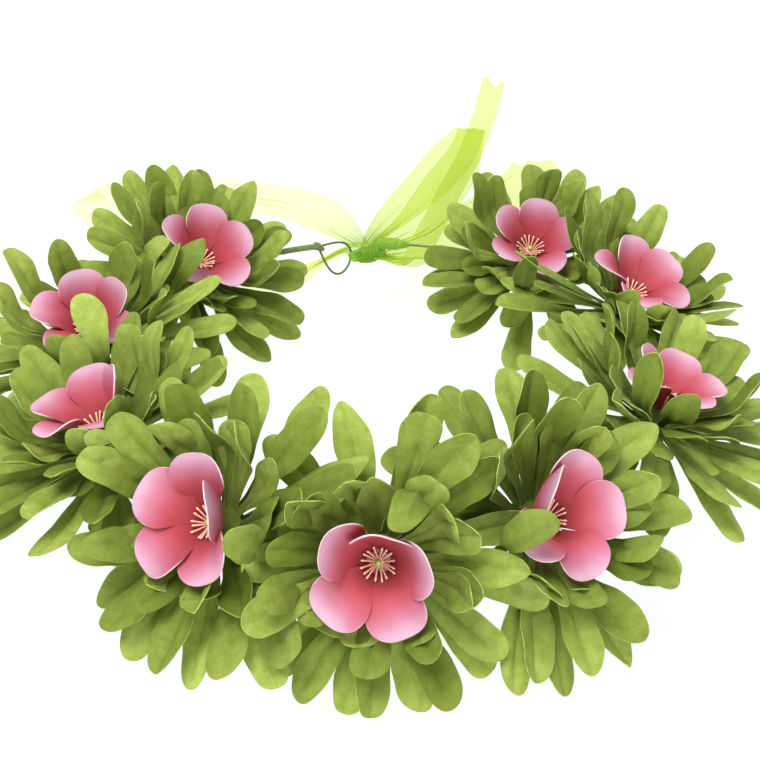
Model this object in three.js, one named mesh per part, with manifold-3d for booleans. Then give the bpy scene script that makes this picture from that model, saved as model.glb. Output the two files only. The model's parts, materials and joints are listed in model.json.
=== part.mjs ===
// Flower crown: nine artificial flower heads on a taped florist's wire, tied at the back with a
// sheer ribbon.
//
// Every head is a stack threaded on a short stem that grows out of the band: three whorls of fabric
// leaves, a whorl of five petals and a moulded spray of stamens. The wire band is open at the back. Its
// left end is bent into a loop, its right end is straight, and the ribbon is knotted to both.
//
// Millimetres, +Z up. The band lies flat. The wearer's forehead touches its inner face at the origin,
// and +Y runs back from there to the ribbon.

import * as THREE from "three";
import { mergeVertices } from "three/addons/utils/BufferGeometryUtils.js";
import Module from "manifold-3d";

const wasm = await Module();
wasm.setup();

// ---------------------------------------------------------------- driving dimensions

const BAND_RADIUS = 95; // centre line of the wire: a 597 mm head size
const TAPE_RADIUS = 1.2; // the wire in its wrapping of florist's tape
const WIRE_RADIUS = 0.7; // the bare loop at the left end
const WIRE_SIDES = 6;
const BAND_STEP = 6; // degrees of band for one straight facet, more or less
const BEND_GAP = 0.5; // length of bare wire left free where the band bends
const END_LOOP = { long: 8.6, short: 5.5, tilt: 62, droop: 34 };
const END_LOOP_FACETS = { round: 6, along: 14 };
const LOOP_END = 103.5; // where the left end turns into its loop, degrees round the band
const STRAIGHT_END = 86; // where the right end stops

// The heads from the left end of the band round the front to the right end, in degrees. at is the
// place on the band from +X and lean tips the whole head outwards from upright. The flower on it tips a
// further nod outwards and sway along the band, and turn spins its petals.
const HEADS = [
  { at: 136, lean: -36, nod: 8, sway: 0, turn: 48 },
  { at: 174, lean: 14, nod: -14, sway: 15, turn: 13 },
  { at: 209.5, lean: 20, nod: -8, sway: -14, turn: 36 },
  { at: 242.5, lean: 43, nod: 2, sway: -10, turn: 55 },
  { at: 270, lean: 59, nod: 4, sway: -6, turn: 36 },
  { at: 297.5, lean: 43, nod: 0, sway: 10, turn: 12 },
  { at: 338, lean: 24, nod: -10, sway: 15, turn: 31 },
  { at: 379, lean: 12, nod: 8, sway: -14, turn: 37 },
  { at: 408, lean: -28, nod: 14, sway: -18, turn: 37 },
];
const FRONT_HEAD = 4; // its stretch of band touches the forehead

// Heights up the stem of each layer, and the stem itself.
const STEM_RADIUS = 1.4;
const STEM_SIDES = 6;
const STEM_BEND = 10; // the flower's own frame starts here
const COLLAR = { radius: 4, height: 3.6, thickness: 0.8, sides: 8 };
const SHEET = 0.5; // thickness of the stiffened fabric
const HUB_SHEET = 0.9; // and of the doubled fabric round the stem
const HOLE_RADIUS = 1.9; // the hole that the stem passes through

// One whorl is a die-cut star of leaves, pressed into a dish. Lift is a leaf's slope at its root and
// curl is how much more it slopes at its tip, both in degrees.
const WHORLS = [
  { name: "lower_leaves", count: 12, length: 40, halfWidth: 5.7, height: 5, lift: -4, curl: 12 },
  { name: "middle_leaves", count: 12, length: 38, halfWidth: 5.7, height: 7, lift: 13, curl: 10 },
  { name: "upper_leaves", count: 9, length: 26, halfWidth: 5.4, height: 9, lift: 30, curl: 16 },
];
const UNEVEN = { spacing: 0.08, length: 0.06, lift: 6, curl: 10, twist: 16 }; // shares, then degrees
const HUB_RADIUS = 7.5;
const HUB_SIDES = 8;
const LEAF_ROOT = 6.7; // a leaf starts inside the hub's rim
const LEAF_WIDEST = 0.7; // share of the length where a leaf is widest
const ROOT_SHARE = 0.24; // half width at the root and at the tip, as a share of the widest
const TIP_SHARE = 0.5;

const PEG_TOP = 2.9;
const PETALS = {
  count: 5,
  length: 18,
  halfWidth: 7.8,
  rootShare: 0.24,
  taper: 2.1,
  height: 2,
  hub: 4.4,
  root: 3.6,
  lift: 52,
  curl: -14,
  cup: 2.6,
  twist: 9,
};
const STAMENS = {
  count: 15,
  length: 6,
  height: 3.3,
  disc: 2,
  thickness: 1,
  lean: 52,
  thread: 0.3,
  anther: 0.5,
};
const PISTIL_RADIUS = 1;

// How far two leaves keep apart, and what is tried, in order, to part them.
const CLEARANCE = 0.5;
const LIFT_TRIES = [0, 5, -5, 10, -10, 15, -15, 20, -20, 25, -25, 30, -30, 36, 42];
const SWING_TRIES = [0, 6, -6, 12, -12, 17, -17];
const LENGTH_TRIES = [1, 0.9, 0.8, 0.7, 0.6, 0.5];
// The bowl that a turning flower sweeps.
const FLOWER_KEEP_OUT = { radius: 20, low: 1, waist: [9, 4], rim: 10, high: 18 };
const BEND_LIMIT = 5; // degrees that each gap between two heads opens
const BEND_TESTS = [0, 0.5, 1]; // shares of that bend at which the leaves are parted

const RIBBON = { sheet: 0.6, floor: -34, neck: 2.2, spread: 0.5 };
const KNOT = { x: 0, z: -5, size: [5, 3.6, 3.8] };
const WRAP = { inner: 1.5, outer: 3.6, length: 9, overhang: 0.8 };

// ---------------------------------------------------------------- colours

const cloth = (color) => new THREE.MeshStandardMaterial({ color, roughness: 0.85, metalness: 0 });
const LEAF_GREEN = cloth(0x86a83c);
const PETAL_PINK = cloth(0xe8808f);
const STAMEN_CREAM = new THREE.MeshStandardMaterial({ color: 0xf0b890, roughness: 0.45, metalness: 0 });
const TAPE_GREEN = cloth(0x4f6630);
const RIBBON_LIME = cloth(0xcdea6a);

// ---------------------------------------------------------------- small tools

const radians = THREE.MathUtils.degToRad;
const X = new THREE.Vector3(1, 0, 0);
const Y = new THREE.Vector3(0, 1, 0);
const Z = new THREE.Vector3(0, 0, 1);

// A repeatable stream of numbers between -1 and 1.
function scatter(seed) {
  let state = seed;
  return () => {
    state = (state * 16807) % 2147483647;
    return (2 * state) / 2147483647 - 1;
  };
}

// A closed three.js geometry as a solid that can be cut and joined.
function solid(geometry) {
  const bare = geometry.clone();
  bare.deleteAttribute("normal");
  bare.deleteAttribute("uv");
  const merged = mergeVertices(bare, 1e-4);
  const mesh = new wasm.Mesh({
    numProp: 3,
    vertProperties: merged.attributes.position.array,
    triVerts: new Uint32Array(merged.index.array),
  });
  return new wasm.Manifold(mesh);
}

function geometryOf(made) {
  const mesh = made.getMesh();
  const geometry = new THREE.BufferGeometry();
  geometry.setAttribute("position", new THREE.BufferAttribute(mesh.vertProperties, 3));
  geometry.setIndex(new THREE.BufferAttribute(mesh.triVerts, 1));
  geometry.computeVertexNormals();
  return geometry;
}

function named(name, made, material) {
  const mesh = new THREE.Mesh(geometryOf(made), material);
  mesh.name = name;
  return mesh;
}

const join = (solids) => solids.reduce((whole, next) => whole.add(next));

// A thin sheet: a box whose length follows place(s) for s from 0 to 1. place returns the point, the
// direction across and the face's normal there, and halfWidth and rise shape the sheet across it.
function sheet({ spans, columns = 1, place, halfWidth, thickness, rise = () => 0 }) {
  const box = new THREE.BoxGeometry(1, 1, 1, spans, columns, 1);
  const corners = box.attributes.position;
  for (let i = 0; i < corners.count; i++) {
    const s = corners.getX(i) + 0.5;
    const side = 2 * corners.getY(i);
    const { point, across, normal } = place(s);
    const v = point
      .clone()
      .addScaledVector(across, side * halfWidth(s))
      .addScaledVector(normal, corners.getZ(i) * thickness + rise(s, side));
    corners.setXYZ(i, v.x, v.y, v.z);
  }
  return solid(box);
}

// A flat ring round the stem.
function hub(radius, height, segments) {
  const low = height - HUB_SHEET / 2;
  const high = height + HUB_SHEET / 2;
  const profile = [
    [HOLE_RADIUS, low],
    [radius, low],
    [radius, high],
    [HOLE_RADIUS, high],
    [HOLE_RADIUS, low],
  ].map(([r, h]) => new THREE.Vector2(r, h));
  return solid(new THREE.LatheGeometry(profile, segments).rotateX(Math.PI / 2));
}

// ---------------------------------------------------------------- the band

const ringPoint = (degrees, radius = BAND_RADIUS, z = 0) =>
  new THREE.Vector3(radius * Math.cos(radians(degrees)), radius * Math.sin(radians(degrees)), z);

class BandArc extends THREE.Curve {
  constructor(from, to) {
    super();
    Object.assign(this, { from, to });
  }
  getPoint(t) {
    return ringPoint(this.from + (this.to - this.from) * t);
  }
}

// A regular outline with a flat side towards the ring's middle.
function wireOutline(radius) {
  const corners = Array.from({ length: WIRE_SIDES }, (_, i) => {
    const angle = (2 * Math.PI * i) / WIRE_SIDES;
    return new THREE.Vector2(radius * Math.cos(angle), radius * Math.sin(angle));
  });
  return new THREE.Shape(corners);
}

// An odd number of facets, so that a stretch of band has one at its middle.
const facets = (from, to) => 2 * Math.round((to - from) / BAND_STEP / 2 - 0.5) + 1;

function arcOfBand(from, to) {
  const extrudePath = new BandArc(from, to);
  const steps = facets(from, to);
  return solid(new THREE.ExtrudeGeometry(wireOutline(TAPE_RADIUS), { steps, extrudePath }));
}

const bendPoints = HEADS.slice(1).map((head, i) => (HEADS[i].at + head.at) / 2);
const halfGap = THREE.MathUtils.radToDeg(BEND_GAP / 2 / BAND_RADIUS);

function bandSpan(i) {
  const from = i === 0 ? LOOP_END : bendPoints[i - 1] + halfGap;
  const to = i === HEADS.length - 1 ? 360 + STRAIGHT_END : bendPoints[i] - halfGap;
  return [from, to];
}

// The loop that the ribbon is tied through: an oval of bare wire that hangs from the band's left end.
function endLoop() {
  const { long, short, tilt, droop } = END_LOOP;
  const { round, along } = END_LOOP_FACETS;
  const oval = new THREE.TorusGeometry(short, WIRE_RADIUS, round, along).scale(long / short, 1, 1);
  oval.translate(long, 0, 0).rotateX(radians(tilt)).rotateY(radians(droop));
  oval.rotateZ(radians(LOOP_END - 90));
  return solid(oval.translate(...ringPoint(LOOP_END).toArray()));
}

// ---------------------------------------------------------------- head frames

// In a head's own frame +Z is its stem, +X leans outwards and +Y runs along the band. Its stem has a
// bend, and the flower's frame starts there, with +Z along the peg that carries the petals.
const crown = new THREE.Group();
const [frontFrom, frontTo] = bandSpan(FRONT_HEAD);
const halfFacet = radians((frontTo - frontFrom) / facets(frontFrom, frontTo) / 2);
crown.position.y = (BAND_RADIUS - TAPE_RADIUS * Math.cos(Math.PI / WIRE_SIDES)) * Math.cos(halfFacet);

const headGroups = HEADS.map(({ at, lean }) => {
  const spoke = new THREE.Group();
  const head = new THREE.Group();
  spoke.rotation.z = radians(at);
  head.position.x = BAND_RADIUS;
  head.rotation.y = radians(lean);
  spoke.add(head);
  crown.add(spoke);
  return head;
});
const flowerGroups = HEADS.map(({ nod, sway }, i) => {
  const flower = new THREE.Group();
  flower.position.z = STEM_BEND;
  flower.rotation.set(radians(-sway), radians(nod), 0, "YXZ");
  headGroups[i].add(flower);
  return flower;
});
crown.updateMatrixWorld(true);
const toRing = crown.matrixWorld.clone().invert();
const inRing = (group) => toRing.clone().multiply(group.matrixWorld);
const headFrames = headGroups.map(inRing);
const flowerFrames = flowerGroups.map(inRing);

// Where each head stands when every gap has opened by the given angle. The front head stays still.
function openedBy(degrees) {
  return HEADS.map((_, i) => {
    const whole = new THREE.Matrix4();
    const side = i < FRONT_HEAD ? 1 : -1;
    for (let j = FRONT_HEAD; j !== i; j -= side) {
      const bend = ringPoint(bendPoints[side > 0 ? j - 1 : j]);
      whole
        .multiply(new THREE.Matrix4().makeTranslation(bend))
        .multiply(new THREE.Matrix4().makeRotationZ(side * radians(degrees)))
        .multiply(new THREE.Matrix4().makeTranslation(bend.negate()));
    }
    return whole;
  });
}

// ---------------------------------------------------------------- leaves

// A leaf in its head's frame. angle is its direction round the stem.
function leaf({ angle, length, lift, curl, twist, halfWidth, height }, extra = 0) {
  const outward = new THREE.Vector3(Math.cos(angle), Math.sin(angle), 0);
  const sideways = new THREE.Vector3(-Math.sin(angle), Math.cos(angle), 0);
  const stations = [0, LEAF_WIDEST, 1];
  const widths = [ROOT_SHARE, 1, TIP_SHARE];
  const at = (s) => Math.round(2 * s);
  const place = (s) => {
    const share = stations[at(s)];
    const slope = lift + (curl * share) / 2;
    const along = outward.clone().multiplyScalar(Math.cos(slope)).addScaledVector(Z, Math.sin(slope));
    const end = lift + curl * share;
    const direction = outward.clone().multiplyScalar(Math.cos(end)).addScaledVector(Z, Math.sin(end));
    const across = sideways.clone().applyAxisAngle(direction, twist * share);
    const root = outward.clone().multiplyScalar(LEAF_ROOT).addScaledVector(Z, height);
    return {
      point: root.addScaledVector(along, length * share),
      across,
      normal: direction.clone().cross(across),
    };
  };
  return sheet({
    spans: 2,
    place,
    halfWidth: (s) => halfWidth * widths[at(s)] + extra,
    thickness: SHEET + 2 * extra,
  });
}

// Everything that a new leaf has to keep clear of, in each tested bend of the band.
const HUBS = "hubs";
const bends = BEND_TESTS.map((share) => openedBy(share * BEND_LIMIT));
const taken = bends.map(() => []);

function occupy(made, owner, whorl) {
  bends.forEach((frames, b) => {
    const moved = made.transform(frames[owner].elements);
    taken[b].push({ made: moved, box: moved.boundingBox(), owner, whorl });
  });
}

const boxesMeet = (a, b) => [0, 1, 2].every((k) => a.min[k] < b.max[k] && b.min[k] < a.max[k]);

// Leaves of one whorl are one piece of fabric and may meet, their own hubs are no obstacle, and a head's
// own pieces bend with it.
function isClear(made, owner, whorl) {
  return bends.every((frames, b) => {
    const moved = made.transform(frames[owner].elements);
    const box = moved.boundingBox();
    return taken[b].every((other) => {
      const together = other.owner === owner && (b > 0 || other.whorl === whorl || other.whorl === HUBS);
      return together || !boxesMeet(box, other.box) || moved.intersect(other.made).isEmpty();
    });
  });
}

// Every way to move a leaf, the smallest change first.
const tries = LENGTH_TRIES.flatMap((shorter) =>
  SWING_TRIES.flatMap((swing) => LIFT_TRIES.map((lifted) => ({ shorter, swing, lifted }))),
);
const change = ({ shorter, swing, lifted }) => Math.abs(lifted) + Math.abs(swing) + 90 * (1 - shorter);
tries.sort((a, b) => change(a) - change(b));

// Lifts, swings or shortens a leaf until it is clear of what is there already.
function settle(wanted, owner, whorl) {
  for (const { shorter, swing, lifted } of tries) {
    const tried = {
      ...wanted,
      length: wanted.length * shorter,
      angle: wanted.angle + radians(swing),
      lift: wanted.lift + radians(lifted),
    };
    const guard = leaf(tried, CLEARANCE / 2).transform(headFrames[owner].elements);
    if (isClear(guard, owner, whorl)) {
      occupy(guard, owner, whorl);
      return tried;
    }
  }
  return null;
}

function flowerKeepOut() {
  const { radius, low, waist, rim, high } = FLOWER_KEEP_OUT;
  const profile = [
    [0, low],
    [PETALS.hub, low],
    waist,
    [radius, rim],
    [radius, high],
    [0, high],
  ].map(([r, h]) => new THREE.Vector2(r, h));
  return solid(new THREE.LatheGeometry(profile, 12).rotateX(Math.PI / 2));
}

function hubsKeepOut() {
  const low = WHORLS[0].height - HUB_SHEET;
  const high = WHORLS[2].height + HUB_SHEET;
  const core = new THREE.CylinderGeometry(HUB_RADIUS, HUB_RADIUS, high - low, HUB_SIDES);
  return solid(core.rotateX(Math.PI / 2).translate(0, 0, (high + low) / 2));
}

// The leaves of one whorl, each a little different, as any hand-shaped fabric is.
function wantedLeaves(whorl, random) {
  const offset = random() * Math.PI;
  return Array.from({ length: whorl.count }, (_, i) => ({
    angle: offset + (2 * Math.PI * (i + UNEVEN.spacing * random())) / whorl.count,
    length: whorl.length * (1 + UNEVEN.length * random()),
    lift: radians(whorl.lift + UNEVEN.lift * random()),
    curl: radians(whorl.curl + UNEVEN.curl * random()),
    twist: radians(UNEVEN.twist * random()),
    halfWidth: whorl.halfWidth,
    height: whorl.height,
  }));
}

// ---------------------------------------------------------------- band and stems

// A rod of the stem's thickness that stands on its frame's origin.
function peg(height) {
  const rod = new THREE.CylinderGeometry(STEM_RADIUS, STEM_RADIUS, height, STEM_SIDES);
  return solid(rod.rotateX(Math.PI / 2).translate(0, 0, height / 2));
}

function stem(i) {
  const { radius, height, thickness, sides } = COLLAR;
  const collar = new THREE.CylinderGeometry(radius, radius / 2, thickness, sides);
  const upright = peg(STEM_BEND).add(solid(collar.rotateX(Math.PI / 2).translate(0, 0, height)));
  const knee = solid(new THREE.SphereGeometry(STEM_RADIUS, 6, 4));
  return join([
    upright.transform(headFrames[i].elements),
    knee.transform(flowerFrames[i].elements),
    peg(PEG_TOP).transform(flowerFrames[i].elements),
  ]);
}

const bandPieces = HEADS.map((_, i) => {
  const pieces = [arcOfBand(...bandSpan(i)), stem(i)];
  if (i === 0) pieces.push(endLoop());
  return join(pieces);
});
bandPieces.forEach((piece, i) => {
  occupy(piece, i);
  occupy(flowerKeepOut().transform(flowerFrames[i].elements), i);
  occupy(hubsKeepOut().transform(headFrames[i].elements), i, HUBS);
  crown.add(named(`band_wire_${i + 1}`, piece, TAPE_GREEN));
});

// ---------------------------------------------------------------- ribbon

const knotAt = new THREE.Vector3(KNOT.x, Math.sqrt(BAND_RADIUS ** 2 - KNOT.x ** 2), KNOT.z);

// A ribbon strip from the knot through points given as [right, back, up] from the knot.
function ribbonStrip({ points, spans, halfWidth }) {
  const fromKnot = (steps) => knotAt.clone().add(new THREE.Vector3(...steps));
  const curve = new THREE.CatmullRomCurve3(points.map(fromKnot));
  const place = (s) => {
    const point = curve.getPointAt(s);
    const along = curve.getTangentAt(s);
    const [first, last] = [curve.getPointAt(0), curve.getPointAt(0.4)];
    const across = Z.clone().cross(last.sub(first)).normalize();
    return { point, across, normal: along.clone().cross(across).normalize() };
  };
  return sheet({ spans, place, halfWidth, thickness: RIBBON.sheet });
}

const drop = RIBBON.floor - KNOT.z;

// Half widths along a strip: a loop is gathered at both of its ends and a tail at its first.
const opened = (wide, share) => RIBBON.neck + (wide - RIBBON.neck) * share;
const gathered = (wide) => (s) => opened(wide, Math.sin(Math.PI * Math.min(s, 1 - s)) ** RIBBON.spread);
const flared = (wide) => (s) => opened(wide, Math.sin((Math.PI / 2) * Math.min(1, 2 * s)));

const ribbonPieces = {
  ribbon_bow_left: ribbonStrip({
    points: [
      [-4.5, 5, -1],
      [-10, 17, drop + 22],
      [-34, 22, drop + 7],
      [-66, 38, drop + 2],
      [-118, 84, drop + 3],
      [-136, 100, drop + 9],
      [-112, 92, drop + 16],
      [-62, 60, drop + 24],
      [-26, 40, drop + 29],
      [-4, 6, 3],
    ],
    spans: 16,
    halfWidth: gathered(17),
  }),
  ribbon_bow_right: ribbonStrip({
    points: [
      [3, 5.5, 0],
      [20, 56, drop + 15],
      [42, 118, drop + 9],
      [54, 150, drop + 15],
      [44, 124, drop + 22],
      [20, 60, drop + 29],
      [0, 6, 3.5],
    ],
    spans: 14,
    halfWidth: gathered(14),
  }),
  ribbon_tail_long: ribbonStrip({
    points: [
      [4, 5.5, -3.5],
      [22, 50, drop + 1],
      [46, 124, drop + 1],
      [60, 176, drop + 4],
      [71, 214, drop + 12],
    ],
    spans: 8,
    halfWidth: flared(7),
  }),
  ribbon_tail_short: ribbonStrip({
    points: [
      [6.5, 2.5, -2],
      [36, 42, drop + 13],
      [60, 84, drop + 9],
      [84, 132, drop + 7],
    ],
    spans: 7,
    halfWidth: flared(13),
  }),
};

const lump = new THREE.SphereGeometry(1, 10, 7).scale(...KNOT.size);
const knot = solid(lump.translate(...knotAt.toArray()));

// The end of the ribbon wound round the straight end of the wire.
function ribbonWrap() {
  const half = WRAP.length / 2;
  const profile = [
    [WRAP.inner, -half],
    [WRAP.outer * 0.7, -half],
    [WRAP.outer, 0],
    [WRAP.outer * 0.6, half],
    [WRAP.inner, half],
    [WRAP.inner, -half],
  ].map(([r, h]) => new THREE.Vector2(r, h));
  return new THREE.LatheGeometry(profile, 10);
}

// ---------------------------------------------------------------- petals and stamens

function petals(turn) {
  const one = (i) => {
    const angle = radians(turn) + (2 * Math.PI * i) / PETALS.count;
    const outward = X.clone().applyAxisAngle(Z, angle);
    const sideways = Y.clone().applyAxisAngle(Z, angle);
    const place = (s) => {
      const slope = radians(PETALS.lift + PETALS.curl * s);
      const along = outward.clone().multiplyScalar(Math.cos(slope)).addScaledVector(Z, Math.sin(slope));
      const root = outward.clone().multiplyScalar(PETALS.root).addScaledVector(Z, PETALS.height);
      const across = sideways.clone().applyAxisAngle(along, radians(PETALS.twist));
      const normal = along.clone().cross(across);
      return { point: root.addScaledVector(along, PETALS.length * s), across, normal };
    };
    const widening = (s) => PETALS.rootShare + (1 - PETALS.rootShare) * Math.sin(PETALS.taper * s);
    const halfWidth = (s) => PETALS.halfWidth * widening(s);
    const rise = (s, side) => PETALS.cup * s * side * side;
    return sheet({ spans: 3, columns: 2, place, halfWidth, thickness: SHEET, rise });
  };
  const blades = Array.from({ length: PETALS.count }, (_, i) => one(i));
  return join([hub(PETALS.hub, PETALS.height, 2 * PETALS.count), ...blades]);
}

function stamens() {
  const { count, length, height, disc, thickness, lean, thread, anther } = STAMENS;
  const base = new THREE.CylinderGeometry(disc * 0.8, disc, thickness, 8).rotateX(Math.PI / 2);
  const pistil = new THREE.SphereGeometry(PISTIL_RADIUS, 6, 4).rotateX(Math.PI / 2);
  const threads = Array.from({ length: count }, (_, i) => {
    const filament = new THREE.CylinderGeometry(anther, thread, length, 3).rotateX(Math.PI / 2);
    filament.translate(0, 0, length / 2).rotateY(radians(lean)).translate(disc * 0.45, 0, 0);
    filament.rotateZ((2 * Math.PI * (i + 0.5)) / count);
    return solid(filament.translate(0, 0, height + thickness / 2));
  });
  return join([
    solid(base.translate(0, 0, height + thickness / 2)),
    solid(pistil.translate(0, 0, height + thickness + PISTIL_RADIUS * 0.6)),
    ...threads,
  ]);
}

// ---------------------------------------------------------------- assembly

for (const [name, piece] of Object.entries(ribbonPieces)) {
  occupy(piece, 0);
  crown.add(named(name, piece, RIBBON_LIME));
}
occupy(knot, 0);
crown.add(named("ribbon_knot", knot, RIBBON_LIME));

// The wrap reaches a little past the wire's end.
const wrapBack = THREE.MathUtils.radToDeg((WRAP.length / 2 - WRAP.overhang) / BAND_RADIUS);
const wrapAt = ringPoint(STRAIGHT_END - wrapBack);
const wrap = new THREE.Mesh(geometryOf(solid(ribbonWrap())), RIBBON_LIME);
wrap.name = "ribbon_wrap";
wrap.position.copy(wrapAt);
wrap.rotation.z = Math.atan2(wrapAt.y, wrapAt.x);
crown.add(wrap);

const streams = HEADS.map((_, i) => scatter(1009 * (i + 1)));
for (const whorl of WHORLS) {
  HEADS.forEach((_, i) => {
    const settled = wantedLeaves(whorl, streams[i]).map((wanted) => settle(wanted, i, whorl));
    const leaves = settled.filter((found) => found).map((found) => leaf(found));
    const made = join([hub(HUB_RADIUS, whorl.height, HUB_SIDES), ...leaves]);
    headGroups[i].add(named(`${whorl.name}_${i + 1}`, made, LEAF_GREEN));
  });
}

HEADS.forEach(({ turn }, i) => {
  flowerGroups[i].add(named(`petals_${i + 1}`, petals(turn), PETAL_PINK));
  flowerGroups[i].add(named(`stamens_${i + 1}`, stamens(), STAMEN_CREAM));
});

export default crown;
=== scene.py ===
"""A flower crown: nine artificial flower heads on a taped wire band, tied at the back with a sheer ribbon.

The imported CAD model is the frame. Places and directions are read from it: the ring from the band's bends,
each flower's axis from its turning joint, and each long leaf from the tip of its CAD leaf. Shapes are
worked out in millimetres as numpy arrays and become Blender meshes in metres.
"""

import json
import math

import bpy
import numpy as np
from mathutils import Matrix, Vector

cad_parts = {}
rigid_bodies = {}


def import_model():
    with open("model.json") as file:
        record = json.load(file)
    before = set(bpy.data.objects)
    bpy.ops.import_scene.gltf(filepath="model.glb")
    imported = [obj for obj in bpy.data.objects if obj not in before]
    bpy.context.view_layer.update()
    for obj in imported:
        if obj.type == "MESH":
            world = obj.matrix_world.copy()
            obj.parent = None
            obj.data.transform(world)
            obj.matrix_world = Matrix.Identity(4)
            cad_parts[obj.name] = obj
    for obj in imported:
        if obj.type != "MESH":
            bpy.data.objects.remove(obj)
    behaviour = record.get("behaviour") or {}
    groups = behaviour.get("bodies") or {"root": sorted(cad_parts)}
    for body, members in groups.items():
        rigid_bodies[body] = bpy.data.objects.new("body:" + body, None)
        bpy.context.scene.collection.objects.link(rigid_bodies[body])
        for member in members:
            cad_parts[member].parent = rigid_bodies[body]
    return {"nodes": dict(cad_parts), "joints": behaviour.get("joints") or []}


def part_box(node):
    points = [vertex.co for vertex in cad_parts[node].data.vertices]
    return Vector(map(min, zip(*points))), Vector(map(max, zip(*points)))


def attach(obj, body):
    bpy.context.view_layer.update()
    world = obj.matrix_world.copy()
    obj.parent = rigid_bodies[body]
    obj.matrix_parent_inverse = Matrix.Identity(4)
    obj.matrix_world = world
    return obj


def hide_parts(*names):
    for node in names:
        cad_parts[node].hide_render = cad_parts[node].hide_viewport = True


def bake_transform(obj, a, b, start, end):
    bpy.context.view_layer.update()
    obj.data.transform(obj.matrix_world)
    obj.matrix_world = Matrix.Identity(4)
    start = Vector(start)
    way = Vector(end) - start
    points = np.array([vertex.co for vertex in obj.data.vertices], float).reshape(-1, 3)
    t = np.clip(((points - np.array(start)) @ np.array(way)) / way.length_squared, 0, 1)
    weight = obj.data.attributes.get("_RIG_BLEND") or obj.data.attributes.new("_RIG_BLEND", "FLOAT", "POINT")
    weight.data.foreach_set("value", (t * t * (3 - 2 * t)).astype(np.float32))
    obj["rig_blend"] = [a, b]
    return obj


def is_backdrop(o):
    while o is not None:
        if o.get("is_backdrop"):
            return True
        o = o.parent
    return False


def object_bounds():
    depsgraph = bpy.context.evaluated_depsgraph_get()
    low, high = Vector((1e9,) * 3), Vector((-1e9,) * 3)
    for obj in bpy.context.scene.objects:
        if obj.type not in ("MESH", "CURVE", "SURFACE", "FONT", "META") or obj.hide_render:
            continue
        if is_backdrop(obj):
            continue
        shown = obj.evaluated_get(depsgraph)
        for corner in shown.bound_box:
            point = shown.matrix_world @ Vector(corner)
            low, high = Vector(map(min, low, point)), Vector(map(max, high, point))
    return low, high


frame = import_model()
cad_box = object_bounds()

# ---------------------------------------- driving dimensions, in millimetres

MM = 0.001
HEADS = range(1, 10)  # 1 is at the back left, 5 at the front and 9 at the back right

CAD_SHEET = 0.5  # thickness of a CAD leaf, by which its corners are found
CAD_TIP_SHARE = 0.5  # a CAD leaf's width at its tip, as a share of its widest
HUB_NEAR = 4.5  # the rim of a hub's hole lies this close to the stem
LEAF_ROOT = 6.7  # a leaf leaves its hub at this radius
WHORLS = {"lower_leaves": 5.7, "middle_leaves": 5.7, "upper_leaves": 5.4}  # half width of a leaf
# How pale the leaves of a whorl may be, from 0 to 1 and past it for more of the palest. Each whorl's range
# is painted light and shade: the lower leaves are made paler, as if lit from the front, and the middle and
# upper ones, in among the other leaves, darker. The spread within a range is random tone.
TONE_AND_LIGHT = {"lower_leaves": (0.55, 1.2), "middle_leaves": (0.05, 0.9), "upper_leaves": (0.0, 0.65)}

LEAF_CLOTH = 0.32
LEAF_WIDEST = 0.75
LEAF_ROOT_SHARE = 0.24
LEAF_WAIST = 1.25  # above 1, a leaf stays narrow for longer before it spreads
LEAF_STRETCH = 1.05  # the cloth leaves run a little past the tips of the CAD ones
LEAF_SIZE = {1: 0.92, 8: 0.95, 9: 0.88}  # heads whose leaves are cut smaller than the others
HUB_RADIUS = 7.2
COVER_WIDEST = 0.78
COVER_WAIST = 1.7
INNER_LEAVES = 9  # short ones that stand round each flower
INNER_CLEARANCE = 16  # degrees between one of those and a cover leaf

PETAL_CLOTH = 0.42
PETAL_LENGTH = 22.4
PETAL_HALF_WIDTH = 8.8
PETAL_ROOT = 3.4
PETAL_WIDEST = 0.68
CUP_SLOPE = 56  # degrees: the wall of the cup that the petals share, above the flower's own level
SPOON_RADIUS = 12
STAMENS = 16

TAPE_RADIUS = 1.2
TAPE_PITCH = 3.2
STEM_RADIUS = 1.35
BARE_WIRE = 0.45
BARE_END = 18  # length of the right end that has no tape

RIBBON_CLOTH = 0.22
RIBBON_GATHERED = 2.2  # half width where it leaves the knot
RIBBON_OPENING = 34  # length over which it spreads to its full width
KNOT_LENGTH = 15
WRAP_LENGTH = 12.5


# ---------------------------------------- small tools


def unit(v):
    return v / np.linalg.norm(v, axis=-1, keepdims=True)


def turned(v, axis, angle):
    """v turned about a unit axis. The angle is in radians and may be an array, one for each v."""
    c = np.cos(angle)[..., None]
    s = np.sin(angle)[..., None]
    along = np.sum(v * axis, axis=-1, keepdims=True) * axis
    return v * c + np.cross(axis, v) * s + along * (1 - c)


def smooth(x):
    x = np.clip(x, 0, 1)
    return x * x * (3 - 2 * x)


def linear(hexed):
    """A colour written as sRGB hex digits, as the linear RGBA that the shaders want."""
    parts = [int(hexed[i : i + 2], 16) / 255 for i in (0, 2, 4)]
    return tuple(p / 12.92 if p < 0.04045 else ((p + 0.055) / 1.055) ** 2.4 for p in parts) + (1.0,)


def spline(points, count):
    """A smooth curve through points, evenly spaced along its length."""
    points = np.asarray(points, float)
    padded = np.concatenate([[2 * points[0] - points[1]], points, [2 * points[-1] - points[-2]]])
    t = np.linspace(0, 1, 60, endpoint=False)[:, None]
    runs = []
    for a, b, c, d in zip(padded, padded[1:], padded[2:], padded[3:]):
        square = (2 * a - 5 * b + 4 * c - d) * t**2
        cube = (3 * b - a - 3 * c + d) * t**3
        runs.append(0.5 * (2 * b + (c - a) * t + square + cube))
    dense = np.concatenate(runs + [points[-1:]])
    length = np.append(0, np.cumsum(np.linalg.norm(np.diff(dense, axis=0), axis=1)))
    even = np.linspace(0, length[-1], count)
    return np.stack([np.interp(even, length, dense[:, k]) for k in range(3)], 1)


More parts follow.
